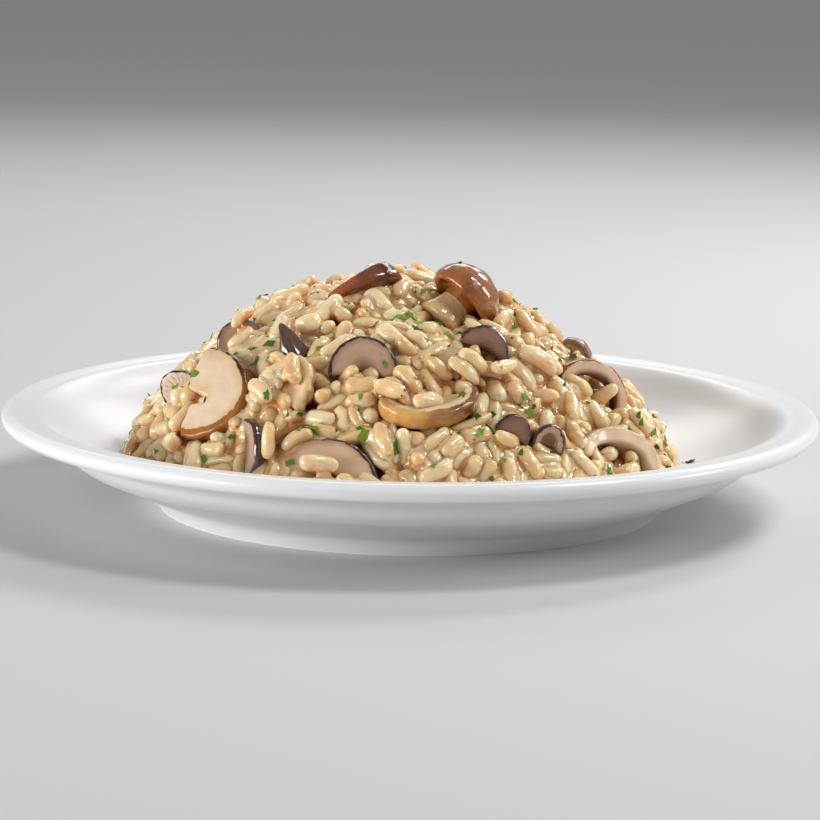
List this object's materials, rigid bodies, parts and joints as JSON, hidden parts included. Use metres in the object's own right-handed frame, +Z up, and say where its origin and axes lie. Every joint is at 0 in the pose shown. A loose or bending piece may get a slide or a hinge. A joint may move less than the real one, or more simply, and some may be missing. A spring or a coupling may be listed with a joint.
{
  "type": "mushroom risotto on its plate",
  "caption": "Risotto with cut mushrooms, heaped in a dome on a round white coupe plate with a narrow rolled lip and a foot ring.",
  "frame": {"origin": "centre of the foot ring on the surface the plate stands on", "axes": "+Z up along the plate's axis; -Y towards the side the dish is seen from; +X to that viewer's right"},
  "size_m": [0.2398, 0.2398, 0.0737],
  "materials": {
    "plate_glaze": "smooth glossy white glaze, pale grey where it turns away from the light",
    "rice": null,
    "mushroom_brown": "sauteed mushroom, amber to red-brown skin, cream flesh, wet highlights",
    "mushroom_purple": "sauteed mushroom, dark purple-brown skin, pink-grey flesh, wet highlights",
    "mushroom_pale": "mushroom flesh under sauce, pale beige and slightly glossy"
  },
  "bodies": {
    "root": {"amber_sliver": "mushroom_brown", "back_arch": "mushroom_purple", "back_half": "mushroom_brown", "back_low": "mushroom_purple", "back_point": "mushroom_purple", "back_slice": "mushroom_purple", "back_strip": "mushroom_brown", "big_slice": "mushroom_brown", "center_arch": "mushroom_purple", "crown_strip": "mushroom_brown", "edge_strip": "mushroom_purple", "front_slice": "mushroom_purple", "gill_slice": "mushroom_brown", "grey_chip": "mushroom_pale", "grey_flat": "mushroom_pale", "grey_slice": "mushroom_purple", "left_arch": "mushroom_brown", "left_slice": "mushroom_purple", "low_arch": "mushroom_pale", "plate": "plate_glaze", "plum_slice": "mushroom_purple", "pointed_cap": "mushroom_purple", "right_arch": "mushroom_brown", "right_half": "mushroom_pale", "risotto": "rice", "sauced_slice": "mushroom_pale", "shoulder_slice": "mushroom_purple", "skyline_slice": "mushroom_brown", "small_curl": "mushroom_purple", "smile_arch": "mushroom_brown", "whole_cap": "mushroom_brown"}
  },
  "joints": []
}
